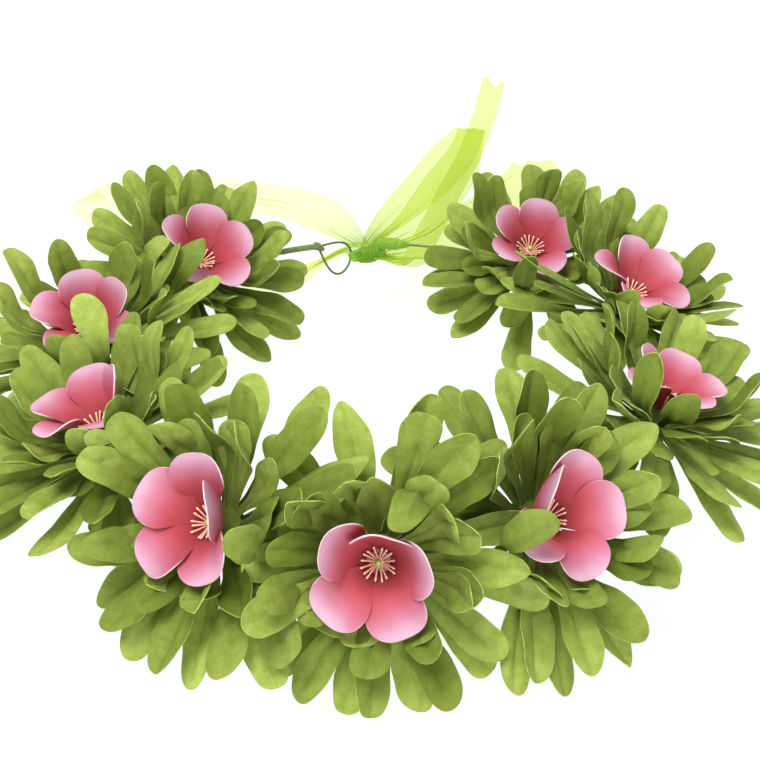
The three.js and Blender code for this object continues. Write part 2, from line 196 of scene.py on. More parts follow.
def spoke(axis, outward, angle):
    """The direction square to axis that lies angle, in radians, anticlockwise from outward."""
    first = unit(outward - axis * np.dot(outward, axis))
    return first * math.cos(angle) + np.cross(axis, first) * math.sin(angle)


def ring_walls(index):
    """Quads between each row of a grid of point numbers and the next, where the rows are rings."""
    after = np.roll(index, -1, axis=1)
    return np.stack([index[:-1], after[:-1], after[1:], index[1:]], -1).reshape(-1, 4).tolist()


def grid_normals(grid):
    return unit(np.cross(np.gradient(grid, axis=0), np.gradient(grid, axis=1)))


def node_corners(name):
    """The corners of a CAD node, each one once."""
    corners = np.array([v.co for v in frame["nodes"][name].data.vertices]) / MM
    return np.unique(np.round(corners, 4), axis=0)


# ---------------------------------------- building meshes


def add_object(name, data):
    made = bpy.data.objects.new(name, data)
    bpy.context.scene.collection.objects.link(made)
    return made


class Builder:
    """Collects closed shells and turns them into one mesh object."""

    def __init__(self, name):
        self.name = name
        self.points = []
        self.faces = []
        self.slots = []
        self.data = {"along": [], "across": [], "tone": []}
        self.count = 0

    def add(self, points, faces, slots, **data):
        """Adds a shell. slots is one value or one for each face, and data one or one for each point."""
        self.points.append(points)
        self.faces.extend([i + self.count for i in face] for face in faces)
        self.slots.extend(np.broadcast_to(slots, len(faces)).tolist())
        for name, values in data.items():
            self.data[name].append(np.broadcast_to(values, len(points)))
        self.count += len(points)

    def sheet(self, grid, thickness, along, across, tone):
        """A sheet that is closed all round: its two faces, and the cut edge in the second material slot."""
        rows, columns = grid.shape[:2]
        half = grid_normals(grid) * thickness / 2
        half[-2:] = half[-3]  # the rows are too short at a rounded tip to give a direction
        points = np.concatenate([(grid + half).reshape(-1, 3), (grid - half).reshape(-1, 3)])
        index = np.arange(rows * columns).reshape(rows, columns)
        a, b = index[:-1, :-1].ravel(), index[1:, :-1].ravel()
        c, d = index[1:, 1:].ravel(), index[:-1, 1:].ravel()
        top = np.stack([a, b, c, d], 1)
        bottom = top[:, ::-1] + rows * columns
        border = np.concatenate([index[:, 0], index[-1, 1:], index[-2::-1, -1], index[0, -2:0:-1]])
        after = np.roll(border, -1)
        rim = np.stack([after, border, border + rows * columns, after + rows * columns], 1)
        faces = np.concatenate([top, bottom, rim]).tolist()
        slots = [0] * (2 * len(top)) + [1] * len(rim)
        data = {"along": along[:, None], "across": across[None, :], "tone": np.reshape(tone, (-1, 1))}
        data = {name: np.tile(np.broadcast_to(v, (rows, columns)).ravel(), 2) for name, v in data.items()}
        self.add(points, faces, slots, **data)

    def tube(self, path, radii, sides=12, tone=0.5, slot=0, relief=None):
        """A round tube along a path, closed at both ends. relief(s, angle) swells its radius."""
        path = np.asarray(path, float)
        count = len(path)
        s = np.linspace(0, 1, count)
        tangent = unit(np.gradient(path, axis=0))
        normal = np.zeros_like(path)
        start = np.cross(tangent[0], [0.0, 0.0, 1.0])
        if np.linalg.norm(start) < 0.2:
            start = np.cross(tangent[0], [1.0, 0.0, 0.0])
        normal[0] = unit(start)
        for i in range(1, count):
            carried = normal[i - 1] - tangent[i] * np.dot(normal[i - 1], tangent[i])
            normal[i] = unit(carried)
        side = np.cross(tangent, normal)
        angle = np.linspace(0, 2 * np.pi, sides, endpoint=False)
        radii = np.broadcast_to(radii, count)
        swell = np.ones((count, sides)) if relief is None else relief(s[:, None], angle[None, :])
        reach = radii[:, None] * swell
        ring = normal[:, None] * np.cos(angle)[None, :, None] + side[:, None] * np.sin(angle)[None, :, None]
        points = (path[:, None] + ring * reach[..., None]).reshape(-1, 3)
        points = np.concatenate([points, path[:1], path[-1:]])
        index = np.arange(count * sides).reshape(count, sides)
        after = np.roll(index, -1, axis=1)
        faces = ring_walls(index)
        faces += [[index.size, b, a] for a, b in zip(index[0].tolist(), after[0].tolist())]
        faces += [[index.size + 1, a, b] for a, b in zip(index[-1].tolist(), after[-1].tolist())]
        along = np.append(np.repeat(s, sides), [0, 1])
        across = np.append(np.tile(angle / np.pi - 1, count), [0, 0])
        self.add(points, faces, slot, along=along, across=across, tone=tone)

    def turned_profile(self, profile, place, sides=24, tone=0.5, slot=0, relief=None):
        """A closed profile of (radius, height) pairs turned round the axis of a 4x4 place."""
        profile = np.asarray(profile, float)
        count = len(profile)
        angle = np.linspace(0, 2 * np.pi, sides, endpoint=False)
        radius = np.broadcast_to(profile[:, :1], (count, sides))
        height = np.broadcast_to(profile[:, 1:], (count, sides))
        if relief is not None:
            radius = radius * relief(np.linspace(0, 1, count)[:, None], angle[None, :])
        local = np.stack([radius * np.cos(angle), radius * np.sin(angle), height], -1).reshape(-1, 3)
        points = local @ place[:3, :3].T + place[:3, 3]
        index = np.arange(count * sides).reshape(count, sides)
        faces = ring_walls(index) + [np.roll(index[0], -1)[::-1].tolist(), index[-1].tolist()]
        along = np.repeat(np.linspace(0, 1, count), sides)
        across = np.tile(angle / np.pi - 1, count)
        self.add(points, faces, slot, along=along, across=across, tone=tone)

    def finish(self, *materials, sharp=50):
        mesh = bpy.data.meshes.new(self.name)
        points = np.concatenate(self.points) * MM
        mesh.from_pydata(points.tolist(), [], self.faces)
        for material in materials:
            mesh.materials.append(material)
        mesh.polygons.foreach_set("material_index", np.array(self.slots, dtype=np.int32))
        for name, parts in self.data.items():
            attribute = mesh.attributes.new(name, "FLOAT", "POINT")
            attribute.data.foreach_set("value", np.concatenate(parts).astype(np.float32))
        mesh.shade_smooth()
        mesh.set_sharp_from_angle(angle=math.radians(sharp))
        mesh.validate()
        return add_object(self.name, mesh)


def deliver(piece, node, body):
    """Hides the CAD node that a piece stands for and puts the piece on the body that it rides on."""
    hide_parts(node)
    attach(piece, body)


def place_at(point, up, forward):
    """A 4x4 whose third axis is up and whose first axis is as near to forward as it can be."""
    up = unit(up)
    first = spoke(up, forward, 0.0)
    whole = np.eye(4)
    whole[:3] = np.stack([first, np.cross(up, first), up, point], 1)
    return whole


# ---------------------------------------- materials


class Shader:
    """A node material, built one node at a time."""

    def __init__(self, name):
        self.material = bpy.data.materials.new(name)
        self.material.use_nodes = True
        self.nodes = self.material.node_tree.nodes
        self.links = self.material.node_tree.links
        self.nodes.clear()
        self.output = self.nodes.new("ShaderNodeOutputMaterial")

    def put(self, kind, settings=None, **inputs):
        """A node. Inputs go by name, with _ for a space, or by number as i0, i1 and so on. An input is a
        value, a colour in hex digits or another node's output."""
        node = self.nodes.new("ShaderNode" + kind)
        for key, value in (settings or {}).items():
            setattr(node, key, value)
        for key, value in inputs.items():
            by_number = key[0] == "i" and key[1:].isdigit()
            socket = node.inputs[int(key[1:])] if by_number else node.inputs[key.replace("_", " ")]
            if isinstance(value, bpy.types.NodeSocket):
                self.links.new(value, socket)
            else:
                socket.default_value = linear(value) if isinstance(value, str) else value
        return node

    def attribute(self, name):
        return self.put("Attribute", {"attribute_name": name}).outputs["Fac"]

    def attributes(self):
        """How far along its length and across its width a point is, and its piece's tone."""
        return [self.attribute(name) for name in ("along", "across", "tone")]

    def math(self, operation, a, b=0.0, clamp=False):
        return self.put("Math", {"operation": operation, "use_clamp": clamp}, i0=a, i1=b).outputs[0]

    def times(self, a, b):
        return self.math("MULTIPLY", a, b)

    def ramp(self, factor, *stops):
        """A colour ramp whose stops are (position, colour in hex digits)."""
        node = self.put("ValToRGB", Fac=factor)
        elements = node.color_ramp.elements
        while len(elements) < len(stops):
            elements.new(0.5)
        for element, (position, colour) in zip(elements, stops):
            element.position = position
            element.color = linear(colour)
        return node.outputs["Color"]

    def mix(self, factor, a, b, blend="MIX"):
        node = self.put("Mix", {"data_type": "RGBA", "blend_type": blend}, i0=factor, i6=a, i7=b)
        return node.outputs[2]

    def stain(self, colour, other):
        return self.mix(1.0, colour, other, "MULTIPLY")

    def noise(self, scale, detail=2.0, roughness=0.5):
        place = self.put("TexCoord").outputs["Object"]
        made = self.put("TexNoise", Vector=place, Scale=scale, Detail=detail, Roughness=roughness)
        return made.outputs["Fac"]

    def shift(self, factor, low, high):
        """A factor of 0 to 1, as a number from low to high."""
        return self.put("MapRange", Value=factor, To_Min=low, To_Max=high).outputs[0]

    def bump(self, height, distance, strength=1.0):
        return self.put("Bump", Height=height, Distance=distance, Strength=strength).outputs[0]

    def grain(self, scale):
        """The weave of a fine stiffened cloth, as a height from 0 to 1."""
        fine = self.noise(scale, detail=3.0, roughness=0.7)
        coarse = self.noise(scale * 0.2, detail=2.0)
        return self.math("ADD", self.times(fine, 0.75), self.times(coarse, 0.25))

    def done(self, surface):
        self.links.new(surface, self.output.inputs["Surface"])
        return self.material

    def plastic(self, **inputs):
        return self.done(self.put("BsdfPrincipled", **inputs).outputs[0])

    def cloth(self, colour, through, normal, roughness, sheen, share):
        """A cloth that shows its own colour in front light and glows a little with light from behind."""
        face = self.put(
            "BsdfPrincipled",
            Base_Color=colour,
            Roughness=roughness,
            Sheen_Weight=sheen,
            Sheen_Roughness=0.4,
            Specular_IOR_Level=0.18,
            Normal=normal,
        )
        glow = self.put("BsdfTranslucent", Color=through, Normal=normal)
        return self.done(self.put("MixShader", i0=share, i1=face.outputs[0], i2=glow.outputs[0]).outputs[0])


def leaf_material():
    shader = Shader("leaf_cloth")
    along, across, tone = shader.attributes()
    side = shader.math("ABSOLUTE", across)
    # The ramp along each leaf is painted shade and painted light: dark at the root, in among the other
    # leaves, and bright at the tip, where the light falls.
    length = shader.ramp(along, (0.0, "566c1e"), (0.3, "88a034"), (0.7, "b0c84a"), (1.0, "d4e674"))
    # Each leaf's tone mixes a painted-shade copy of its colour with a paler painted-light copy. The whorl
    # sets the range, which is painted light and shade; the spread within it is random tone.
    darker_and_shaded = shader.stain(length, "a2a682")
    paler_and_lit = shader.mix(0.6, length, "d6e480")
    toned = shader.mix(tone, darker_and_shaded, paler_and_lit)
    cloud = shader.shift(shader.noise(240.0, detail=4.0, roughness=0.65), -0.5, 1.3)
    mottled = shader.mix(cloud, toned, shader.stain(toned, "c2c794"))
    rib = shader.math("SUBTRACT", 1.0, shader.math("DIVIDE", side, 0.06), clamp=True)
    ribbed = shader.mix(shader.times(rib, 0.16), mottled, "6c8a30")
    slant = shader.math("SUBTRACT", shader.times(along, 46.0), shader.times(side, 16.0))
    wander = shader.shift(shader.noise(90.0), -2.5, 2.5)
    wave = shader.math("SINE", shader.math("ADD", slant, wander))
    vein = shader.math("POWER", shader.math("MAXIMUM", wave, 0.0), 8.0)
    veined = shader.mix(shader.times(vein, 0.03), ribbed, "d3e68c")
    grain = shader.grain(2200.0)
    shaded = shader.mix(shader.shift(grain, 0.6, -0.1), veined, "4f6a1c")
    height = shader.math("ADD", shader.times(grain, 0.6), shader.times(vein, 0.15))
    normal = shader.bump(height, 0.00024, 0.9)
    through = shader.stain(veined, "f6ff9c")
    return shader.cloth(shaded, through, normal, 0.65, 0.04, 0.3)


def leaf_edge_material():
    shader = Shader("leaf_cut_edge")
    fray = shader.noise(400.0, detail=6.0, roughness=0.75)
    colour = shader.ramp(fray, (0.4, "7f9a3a"), (0.62, "bfd272"))
    normal = shader.bump(fray, 0.0001)
    return shader.cloth(colour, "dcf08a", normal, 0.8, 0.1, 0.25)


def petal_material():
    shader = Shader("petal_cloth")
    along, across, tone = shader.attributes()
    side = shader.math("ABSOLUTE", across)
    free = shader.put("MapRange", Value=along, From_Min=0.34, From_Max=0.7, To_Max=0.82).outputs[0]
    edge = shader.math("MAXIMUM", along, shader.times(shader.math("POWER", side, 3.0), free))
    wander = shader.shift(shader.noise(160.0), -0.07, 0.07)
    place = shader.math("ADD", edge, wander)
    shades = (0.0, "a03840"), (0.4, "c4525a"), (0.57, "cc6474"), (0.75, "d68ca6"), (0.94, "e6c2d8")
    colour = shader.ramp(place, *shades)
    toned = shader.mix(shader.shift(tone, 0.0, 0.3), colour, shader.stain(colour, "f0c8d0"))
    veins = shader.math("SINE", shader.times(across, 34.0))
    vein = shader.times(shader.math("POWER", shader.math("MAXIMUM", veins, 0.0), 5.0), 0.035)
    veined = shader.mix(vein, toned, "c24c60")
    grain = shader.grain(3000.0)
    shaded = shader.mix(shader.shift(grain, 0.22, 0.0), veined, "b8505f")
    height = shader.math("ADD", shader.times(grain, 0.5), vein)
    normal = shader.bump(height, 0.00012, 0.7)
    through = shader.stain(veined, "f4c4c8")
    return shader.cloth(shaded, through, normal, 0.55, 0.08, 0.3)


def petal_edge_material():
    shader = Shader("petal_cut_edge")
    fray = shader.noise(1500.0, detail=3.0)
    pale = shader.ramp(fray, (0.3, "f2c4d2"), (0.7, "fce9ee"))
    near_root = shader.ramp(shader.attribute("along"), (0.5, "a03c48"), (0.68, "ffffff"))
    colour = shader.stain(pale, near_root)
    normal = shader.bump(fray, 0.0001)
    return shader.cloth(colour, colour, normal, 0.7, 0.1, 0.25)


def moulded_material(name, low, high, roughness, coat=0.0):
    """A moulded plastic whose colour wanders between two shades along each strand."""
    shader = Shader(name)
    along = shader.attribute("along")
    cloud = shader.noise(700.0)
    mixed = shader.math("ADD", shader.times(along, 0.75), shader.times(cloud, 0.25))
    colour = shader.ramp(mixed, (0.15, low), (0.85, high))
    normal = shader.bump(cloud, 0.00005)
    return shader.plastic(
        Base_Color=colour,
        Roughness=shader.shift(cloud, roughness, roughness + 0.15),
        Coat_Weight=coat,
        Subsurface_Weight=0.15,
        Subsurface_Radius=(0.002, 0.001, 0.0006),
        Subsurface_Scale=0.5,
        Normal=normal,
    )


def tape_material():
    shader = Shader("florist_tape")
    stretch = shader.noise(900.0, detail=4.0)
    patch = shader.noise(120.0)
    colour = shader.ramp(stretch, (0.3, "3c4f26"), (0.7, "66803c"))
    worn = shader.mix(shader.shift(patch, 0.0, 0.5), colour, "7c9450")
    normal = shader.bump(stretch, 0.0002)
    return shader.plastic(Base_Color=worn, Roughness=0.68, Sheen_Weight=0.15, Normal=normal)


def wire_material():
    shader = Shader("coated_wire")
    streak = shader.noise(1400.0, detail=3.0)
    colour = shader.ramp(streak, (0.3, "46592f"), (0.75, "6d8050"))
    roughness = shader.shift(streak, 0.32, 0.5)
    normal = shader.bump(streak, 0.00004)
    return shader.plastic(Base_Color=colour, Roughness=roughness, Metallic=0.25, Normal=normal)


def organza_material(name, thread, clear, cover, gathered_cover):
    """Sheer ribbon: open weave that tints what is behind it, denser where tone says it is gathered."""
    shader = Shader(name)
    along, across, gather = shader.attributes()
    side = shader.math("ABSOLUTE", across)
    warp = shader.math("SINE", shader.times(across, 300.0))
    weft = shader.math("SINE", shader.times(along, 1900.0))
    weave = shader.shift(shader.times(warp, weft), 0.8, 1.2)
    cloud = shader.shift(shader.noise(45.0, detail=3.0), 0.5, 1.5)
    base = shader.shift(gather, cover, gathered_cover)
    selvedge = shader.times(shader.math("GREATER_THAN", side, 0.95), cover)
    dense = shader.times(shader.times(weave, cloud), base)
    share = shader.math("ADD", dense, selvedge, clamp=True)
    colour = shader.mix(gather, thread, "a4cc40")
    open_weave = shader.put("BsdfTransparent", Color=clear)
    face = shader.put("BsdfPrincipled", Base_Color=colour, Roughness=0.4, Sheen_Weight=0.3)
    glow = shader.put("BsdfTranslucent", Color=colour)
    threads = shader.put("MixShader", i0=0.55, i1=face.outputs[0], i2=glow.outputs[0])
    surface = shader.put("MixShader", i0=share, i1=open_weave.outputs[0], i2=threads.outputs[0])
    return shader.done(surface.outputs[0])


LEAF = leaf_material()
LEAF_EDGE = leaf_edge_material()
PETAL = petal_material()
PETAL_EDGE = petal_edge_material()
FILAMENT = moulded_material("stamen_strands", "d98f78", "f6cfae", 0.42)
BEAD = moulded_material("pistil_bead", "6d8a35", "a9c05a", 0.18, coat=0.6)
TAPE = tape_material()
WIRE = wire_material()
ORGANZA = organza_material("organza", "d0ee5c", "f4f8d6", 0.09, 0.4)
ORGANZA_LIT = organza_material("organza_lit", "dcf47c", "fafcea", 0.05, 0.4)
ORGANZA_FOLD = organza_material("organza_knotted", "9ccc40", "d8ee90", 0.72, 0.85)
ORGANZA_WOUND = organza_material("organza_wound", "7ba632", "c8de80", 0.9, 1.0)


# ---------------------------------------- the frame's geometry

JOINTS = {joint["name"]: joint for joint in frame["joints"]}
bends = np.array([joint["pos_m"] for joint in frame["joints"] if joint["name"].startswith("bend_")]) / MM


def circle_through(points):
    """Centre and radius of the circle nearest to points in one level plane."""
    a = np.c_[2 * points[:, :2], np.ones(len(points))]
    x, y, rest = np.linalg.lstsq(a, np.sum(points[:, :2] ** 2, axis=1), rcond=None)[0]
    return np.array([x, y, points[0, 2]]), math.sqrt(rest + x * x + y * y)


RING_CENTRE, RING_RADIUS = circle_through(bends)


def ring_point(angle, radius=None):
    reach = RING_RADIUS if radius is None else radius
    return RING_CENTRE + reach * np.array([math.cos(angle), math.sin(angle), 0.0])


def ring_angle(point):
    return math.atan2(point[1] - RING_CENTRE[1], point[0] - RING_CENTRE[0])


class Head:
    """Where one head is: its stem's foot and direction, its hubs and its flower."""

    def __init__(self, number):
        turn = JOINTS[f"petal_turn_{number}"]
        self.number = number
        self.pivot = np.array(turn["pos_m"]) / MM
        self.flower_axis = unit(np.array(turn["axis"], float))
        self.foot = ring_point(ring_angle(self.pivot))
        self.hubs = {whorl: self.hub(f"{whorl}_{number}") for whorl in WHORLS}
        self.axis = unit(self.hubs["upper_leaves"] - self.hubs["lower_leaves"])
        self.outward = unit(self.foot - RING_CENTRE)

    def hub(self, node):
        corners = node_corners(node)
        line = unit(self.pivot - self.foot)
        offset = corners - self.foot
        apart = np.linalg.norm(offset - np.outer(offset @ line, line), axis=1)
        return corners[apart < HUB_NEAR].mean(0)


def cad_leaves(head, whorl, half_width):
    """The CAD leaves of a whorl, each found by the four corners of its tip."""
    corners = node_corners(f"{whorl}_{head.number}")
    hub = head.hubs[whorl]
    corners = corners[np.linalg.norm(corners - hub, axis=1) > 1.5 * LEAF_ROOT]
    apart = np.linalg.norm(corners[:, None] - corners[None], axis=2)
    pairs = np.argwhere(np.triu(np.abs(apart - CAD_SHEET) < 0.004))
    posts = [(corners[a] + corners[b], corners[b] - corners[a]) for a, b in pairs]
    found = []
    used = set()
    for i, (twice_a, across_a) in enumerate(posts):
        for j in range(i + 1, len(posts)):
            twice_b, across_b = posts[j]
            between = (twice_b - twice_a) / 2
            width = np.linalg.norm(between)
            fits = abs(width - 2 * half_width * CAD_TIP_SHARE) < 0.02
            parallel = abs(np.dot(unit(across_a), unit(across_b))) > 0.999
            square = abs(np.dot(unit(across_a), between)) < 0.05
            if fits and parallel and square and not used & {i, j}:
                used |= {i, j}
                found.append(((twice_a + twice_b) / 4, between / width, unit(across_a)))
    leaves = [leaf_pose(head, hub, *tip) for tip in found]
    return sorted(leaves, key=lambda leaf: leaf["angle"])


def leaf_pose(head, hub, tip, across, normal):
    """How a CAD leaf leaves its hub and bends, from where its tip is."""
    axis = head.axis
    level = (tip - hub) - axis * np.dot(tip - hub, axis)
    outward = unit(level)
    sideways = np.cross(axis, outward)
    across = across if np.dot(across, sideways) > 0 else -across
    normal = normal if np.dot(normal, axis) > 0 else -normal
    end = np.cross(across, normal)
    chord = tip - (hub + outward * LEAF_ROOT)
    end_slope = math.atan2(np.dot(end, axis), np.dot(end, outward))
    chord_slope = math.atan2(np.dot(chord, axis), np.dot(chord, outward))
    twist = math.atan2(np.dot(np.cross(sideways, across), end), np.dot(sideways, across))
    first = np.cross(head.axis, head.outward)
    return {
        "angle": math.atan2(np.dot(outward, first), np.dot(outward, head.outward)),
        "hub": hub,
        "axis": axis,
        "outward": outward,
        "sideways": sideways,
        "length": np.linalg.norm(chord),
        "lift": 2 * chord_slope - end_slope,
        "curl": 2 * (end_slope - chord_slope),
        "twist": twist,
    }


heads = {number: Head(number) for number in HEADS}


# ---------------------------------------- leaves


def leaf_rows(random, widest=LEAF_WIDEST, waist=LEAF_WAIST):
    """Shares of the length, from the root to the tip, and the half width at each.

    The tips are cut by hand, so they run from nearly square to nearly pointed."""
    widest = widest + random.uniform(-0.08, 0.06)
    blade = np.linspace(0, widest, 15)[:-1]
    spread = (1 - np.cos(np.pi * blade / widest)) / 2
    blade_width = LEAF_ROOT_SHARE + (1 - LEAF_ROOT_SHARE) * spread**waist
    cap = np.linspace(0, np.pi / 2, 10)
    cap_place = widest + (1 - widest) * np.sin(cap)
    bluntness = random.choice([0.66, 0.82, 1.0, 1.35], p=[0.25, 0.35, 0.22, 0.18])
    cap_width = np.maximum(np.cos(cap), 0.03) ** bluntness
    return np.append(blade, cap_place), np.append(blade_width, cap_width)


def shaped_leaf(spine, across, normal, width, share, random):
    """A leaf's middle surface: creased along its midrib, pillowed on both sides, cupped and crumpled."""
    columns = np.linspace(-1, 1, 13)
    v = columns[None, :]
    u = share[:, None]
    turns = random.uniform(0, 2 * np.pi, 8)
    right = 0.07 * np.sin(8 * u + turns[0]) + 0.035 * np.sin(21 * u + turns[1])
    left = 0.07 * np.sin(8 * u + turns[2]) + 0.035 * np.sin(21 * u + turns[3])
    reach = width[:, None] * v * (1 + np.where(v > 0, right, left))
    slant = random.uniform(-0.4, 0.4) * width[:, None] * v * smooth((u - 0.55) / 0.4)
    cup = random.uniform(-0.24, 0.3) * v**2 * (0.4 + u) + random.uniform(-0.05, 0.2) * np.abs(v)
    crease = -random.uniform(0.05, 0.14) * np.exp(-((v / 0.15) ** 2))
    pillow = random.uniform(0.05, 0.15) * np.sin(np.pi * np.abs(v)) ** 2
    ripple = random.uniform(0.03, 0.1) * np.sin(8 * u + turns[4]) * v
    crumple = 0.035 * np.sin(13 * u + 3.5 * v + turns[5]) + 0.025 * np.sin(19 * u - 5 * v + turns[6])
    grown = np.sin(np.pi * share**0.8)[:, None] ** 0.5
    rise = width[:, None] * (cup + (crease + pillow + crumple) * grown + ripple)
    direction = np.cross(across, normal)
    grid = spine[:, None] + across[:, None] * reach[..., None] + normal[:, None] * rise[..., None]
    return grid + direction[:, None] * slant[..., None], share, columns


def leaf_grid(pose, half_width, stretch, random):
    """The middle surface of one leaf, from the hub to the tip."""
    share, width = leaf_rows(random)
    outward, axis = pose["outward"], pose["axis"]
    slope = pose["lift"] + pose["curl"] * share / 2
    flick = random.uniform(-2.4, 1.6) * np.clip((share - 0.55) / 0.45, 0, 1) ** 2
    bow = random.uniform(-1.6, 1.6) * np.sin(np.pi * share) + random.uniform(-1.6, 1.6) * share**2
    run = pose["length"] * stretch * share
    spine = (
        pose["hub"]
        + outward * (LEAF_ROOT + run * np.cos(slope))[:, None]
        + axis * (run * np.sin(slope) + flick)[:, None]
        + pose["sideways"] * bow[:, None]
    )
    inside = pose["hub"] + np.outer([LEAF_ROOT * 0.5, LEAF_ROOT * 0.8], outward)
    spine = np.concatenate([inside, spine])
    share = np.append([-0.08, -0.04], share)
    width = np.append([width[0]] * 2, width) * half_width * random.uniform(0.93, 1.07)
    direction = unit(np.gradient(spine, axis=0))
    level = unit(np.cross(np.broadcast_to(axis, direction.shape), direction))
    twist = pose["twist"] * share + random.uniform(-0.2, 0.2) * np.clip(share, 0, 1) ** 2
    across = turned(level, direction, twist)
    normal = np.cross(direction, across)
    return shaped_leaf(spine, across, normal, width, np.clip(share, 0, 1), random)


# Leaves that stand up beside a flower or curl over it: direction round the stem, in degrees anticlockwise
# from outwards, how far the tip curls in over the flower, and the length, both as shares.
COVER_LEAVES = {
    1: [(108, 1.2, 0.9), (76, 1.0, 0.74)],
    2: [(114, 1.25, 0.98), (86, 0.5, 0.86)],
    3: [(98, -0.3, 0.74), (70, 0.3, 0.7)],
    4: [(84, 0.25, 0.96)],
    5: [(152, 1.05, 0.82)],
    6: [(-84, 0.6, 1.0)],
    7: [(-108, -0.05, 0.9), (-78, 0.25, 0.72)],
    8: [(-132, 0.25, 0.74), (-100, 0.25, 0.74)],
    9: [(-156, 0.15, 1.0), (-92, 0.55, 1.0)],
}


def cover_leaf_spine(head, angle, over, length):
    """Keeps outside the bowl that the petals turn in, then rises and curls over it."""
    out = spoke(head.axis, head.outward, angle)
    level = spoke(head.flower_axis, out, 0.0)
    beside = [(13.5, 0.8), (21, 5.0), (24.4, 12)]
    above = [(25.5 - 5.5 * over, 20.6), (27.5 - 20.5 * over, 27.5 - 3.8 * over)]
    points = [head.pivot + level * a + head.flower_axis * b for a, b in beside + above]
    root = head.hubs["upper_leaves"] + out * LEAF_ROOT
    return spline([root] + points, 200)[: int(200 * length)]


def inner_leaves(head, random):
    """The ring of short leaves that stand round each flower, leaning away from it."""
    angles = [angle for angle, _, _ in COVER_LEAVES[head.number]]
    found = []
    for step in range(INNER_LEAVES):
        angle = 360 / INNER_LEAVES * (step + random.uniform(-0.3, 0.3)) + 7 * head.number
        to_front = -spoke(head.axis, head.outward, math.radians(angle))[1]
        if min(abs((angle - other + 180) % 360 - 180) for other in angles) >= INNER_CLEARANCE:
            tallest = 0.56 if to_front > 0.25 else 0.82
            found.append((angle, random.uniform(-0.5, -0.15), tallest * random.uniform(0.86, 1.06)))
    return found


def cover_leaf_grid(head, angle, over, length, half_width, random):
    share, width = leaf_rows(random, COVER_WIDEST, COVER_WAIST)
    spine = cover_leaf_spine(head, math.radians(angle), over, length)
    fine = np.linspace(0, 1, len(spine))
    path = np.stack([np.interp(share, fine, spine[:, k]) for k in range(3)], 1)
    tangent = unit(np.gradient(spine, axis=0))
    direction = unit(np.stack([np.interp(share, fine, tangent[:, k]) for k in range(3)], 1))
    out = unit(path[-4] - head.pivot)
    side = unit(np.cross(head.flower_axis, out))
    across = unit(side - direction * (direction @ side)[:, None])
    across = turned(across, direction, random.uniform(-0.35, 0.35) * share)
    normal = np.cross(direction, across)
    width = width * half_width * random.uniform(0.9, 1.05)
    return shaped_leaf(path, across, normal, width, share, random)


# Short leaves that fill the side of a leaning head: direction as above, lift above level, in degrees
# too, and length.
SKIRT_LEAVES = {
    3: [(40, 30, 22), (62, -20, 25), (84, 34, 19), (104, -5, 24), (124, 28, 22), (146, -15, 24)],
    7: [(-40, 25, 22), (-60, -18, 25), (-80, 32, 20), (-100, 0, 24), (-122, 26, 22), (-146, -15, 24)],
    8: [(-52, 20, 22), (-74, -18, 25), (-96, 30, 20), (-118, 2, 24), (-142, 24, 22)],
}


def skirt_pose(head, angle, lift, length):
    """The same description of a leaf as leaf_pose gives."""
    outward = spoke(head.axis, head.outward, math.radians(angle))
    return {
        "hub": head.hubs["lower_leaves"],
        "axis": head.axis,
        "outward": outward,
        "sideways": np.cross(head.axis, outward),
        "length": length,
        "lift": math.radians(lift),
        "curl": math.radians(-14),
        "twist": math.radians(0.2 * lift),
    }


def build_whorl(head, whorl, half_width):
    name = f"{whorl}_cloth_{head.number}"
    builder = Builder(name)
    random = np.random.default_rng(100 * head.number + len(whorl))
    size = LEAF_SIZE.get(head.number, 1.0)
    for pose in cad_leaves(head, whorl, half_width):
        grid, share, columns = leaf_grid(pose, half_width * size, LEAF_STRETCH * size, random)
        # The whorl's range paints light on the lower leaves and shade on the inner ones.
        builder.sheet(grid, LEAF_CLOTH, share, columns, random.uniform(*TONE_AND_LIGHT[whorl]))
    if whorl == "lower_leaves":
        for leaf in SKIRT_LEAVES.get(head.number, []):
            grid, share, columns = leaf_grid(skirt_pose(head, *leaf), half_width, 1.0, random)
            builder.sheet(grid, LEAF_CLOTH, share, columns, random.uniform(0.1, 0.8))
    if whorl == "upper_leaves":
        for angle, over, length in COVER_LEAVES[head.number] + inner_leaves(head, random):
            grid, share, columns = cover_leaf_grid(head, angle, over, length, half_width * size, random)
            builder.sheet(grid, LEAF_CLOTH, share, columns, random.uniform(0.2, 1))
    place = place_at(head.hubs[whorl], head.axis, head.outward)
    lower_half = [(2.0, -0.3), (HUB_RADIUS * 0.6, -0.42), (HUB_RADIUS, -0.2)]
    dish = lower_half + [(radius, -height) for radius, height in lower_half[::-1]]
    builder.turned_profile(dish, place, tone=0.2)
    deliver(builder.finish(LEAF, LEAF_EDGE), f"{whorl}_{head.number}", f"head_{head.number}")


# ---------------------------------------- flowers

# The slope at each petal's tip, in degrees above the flower's own level. The petals are counted
# anticlockwise, seen from above the flower, from the direction that points outwards from the ring.
PETAL_END_SLOPE = {
    1: (34, 10, 14, 44, 42),
    2: (24, 8, 16, 58, 50),
    3: (14, 6, 74, 46, 26),
    4: (12, 84, 46, 32, 10),
    5: (6, 56, 80, 50, 4),
    6: (8, 30, 48, 88, 14),
    7: (24, 48, 58, 6, 8),
    8: (44, 52, 12, 6, 14),
    9: (48, 42, 22, 10, 30),
}


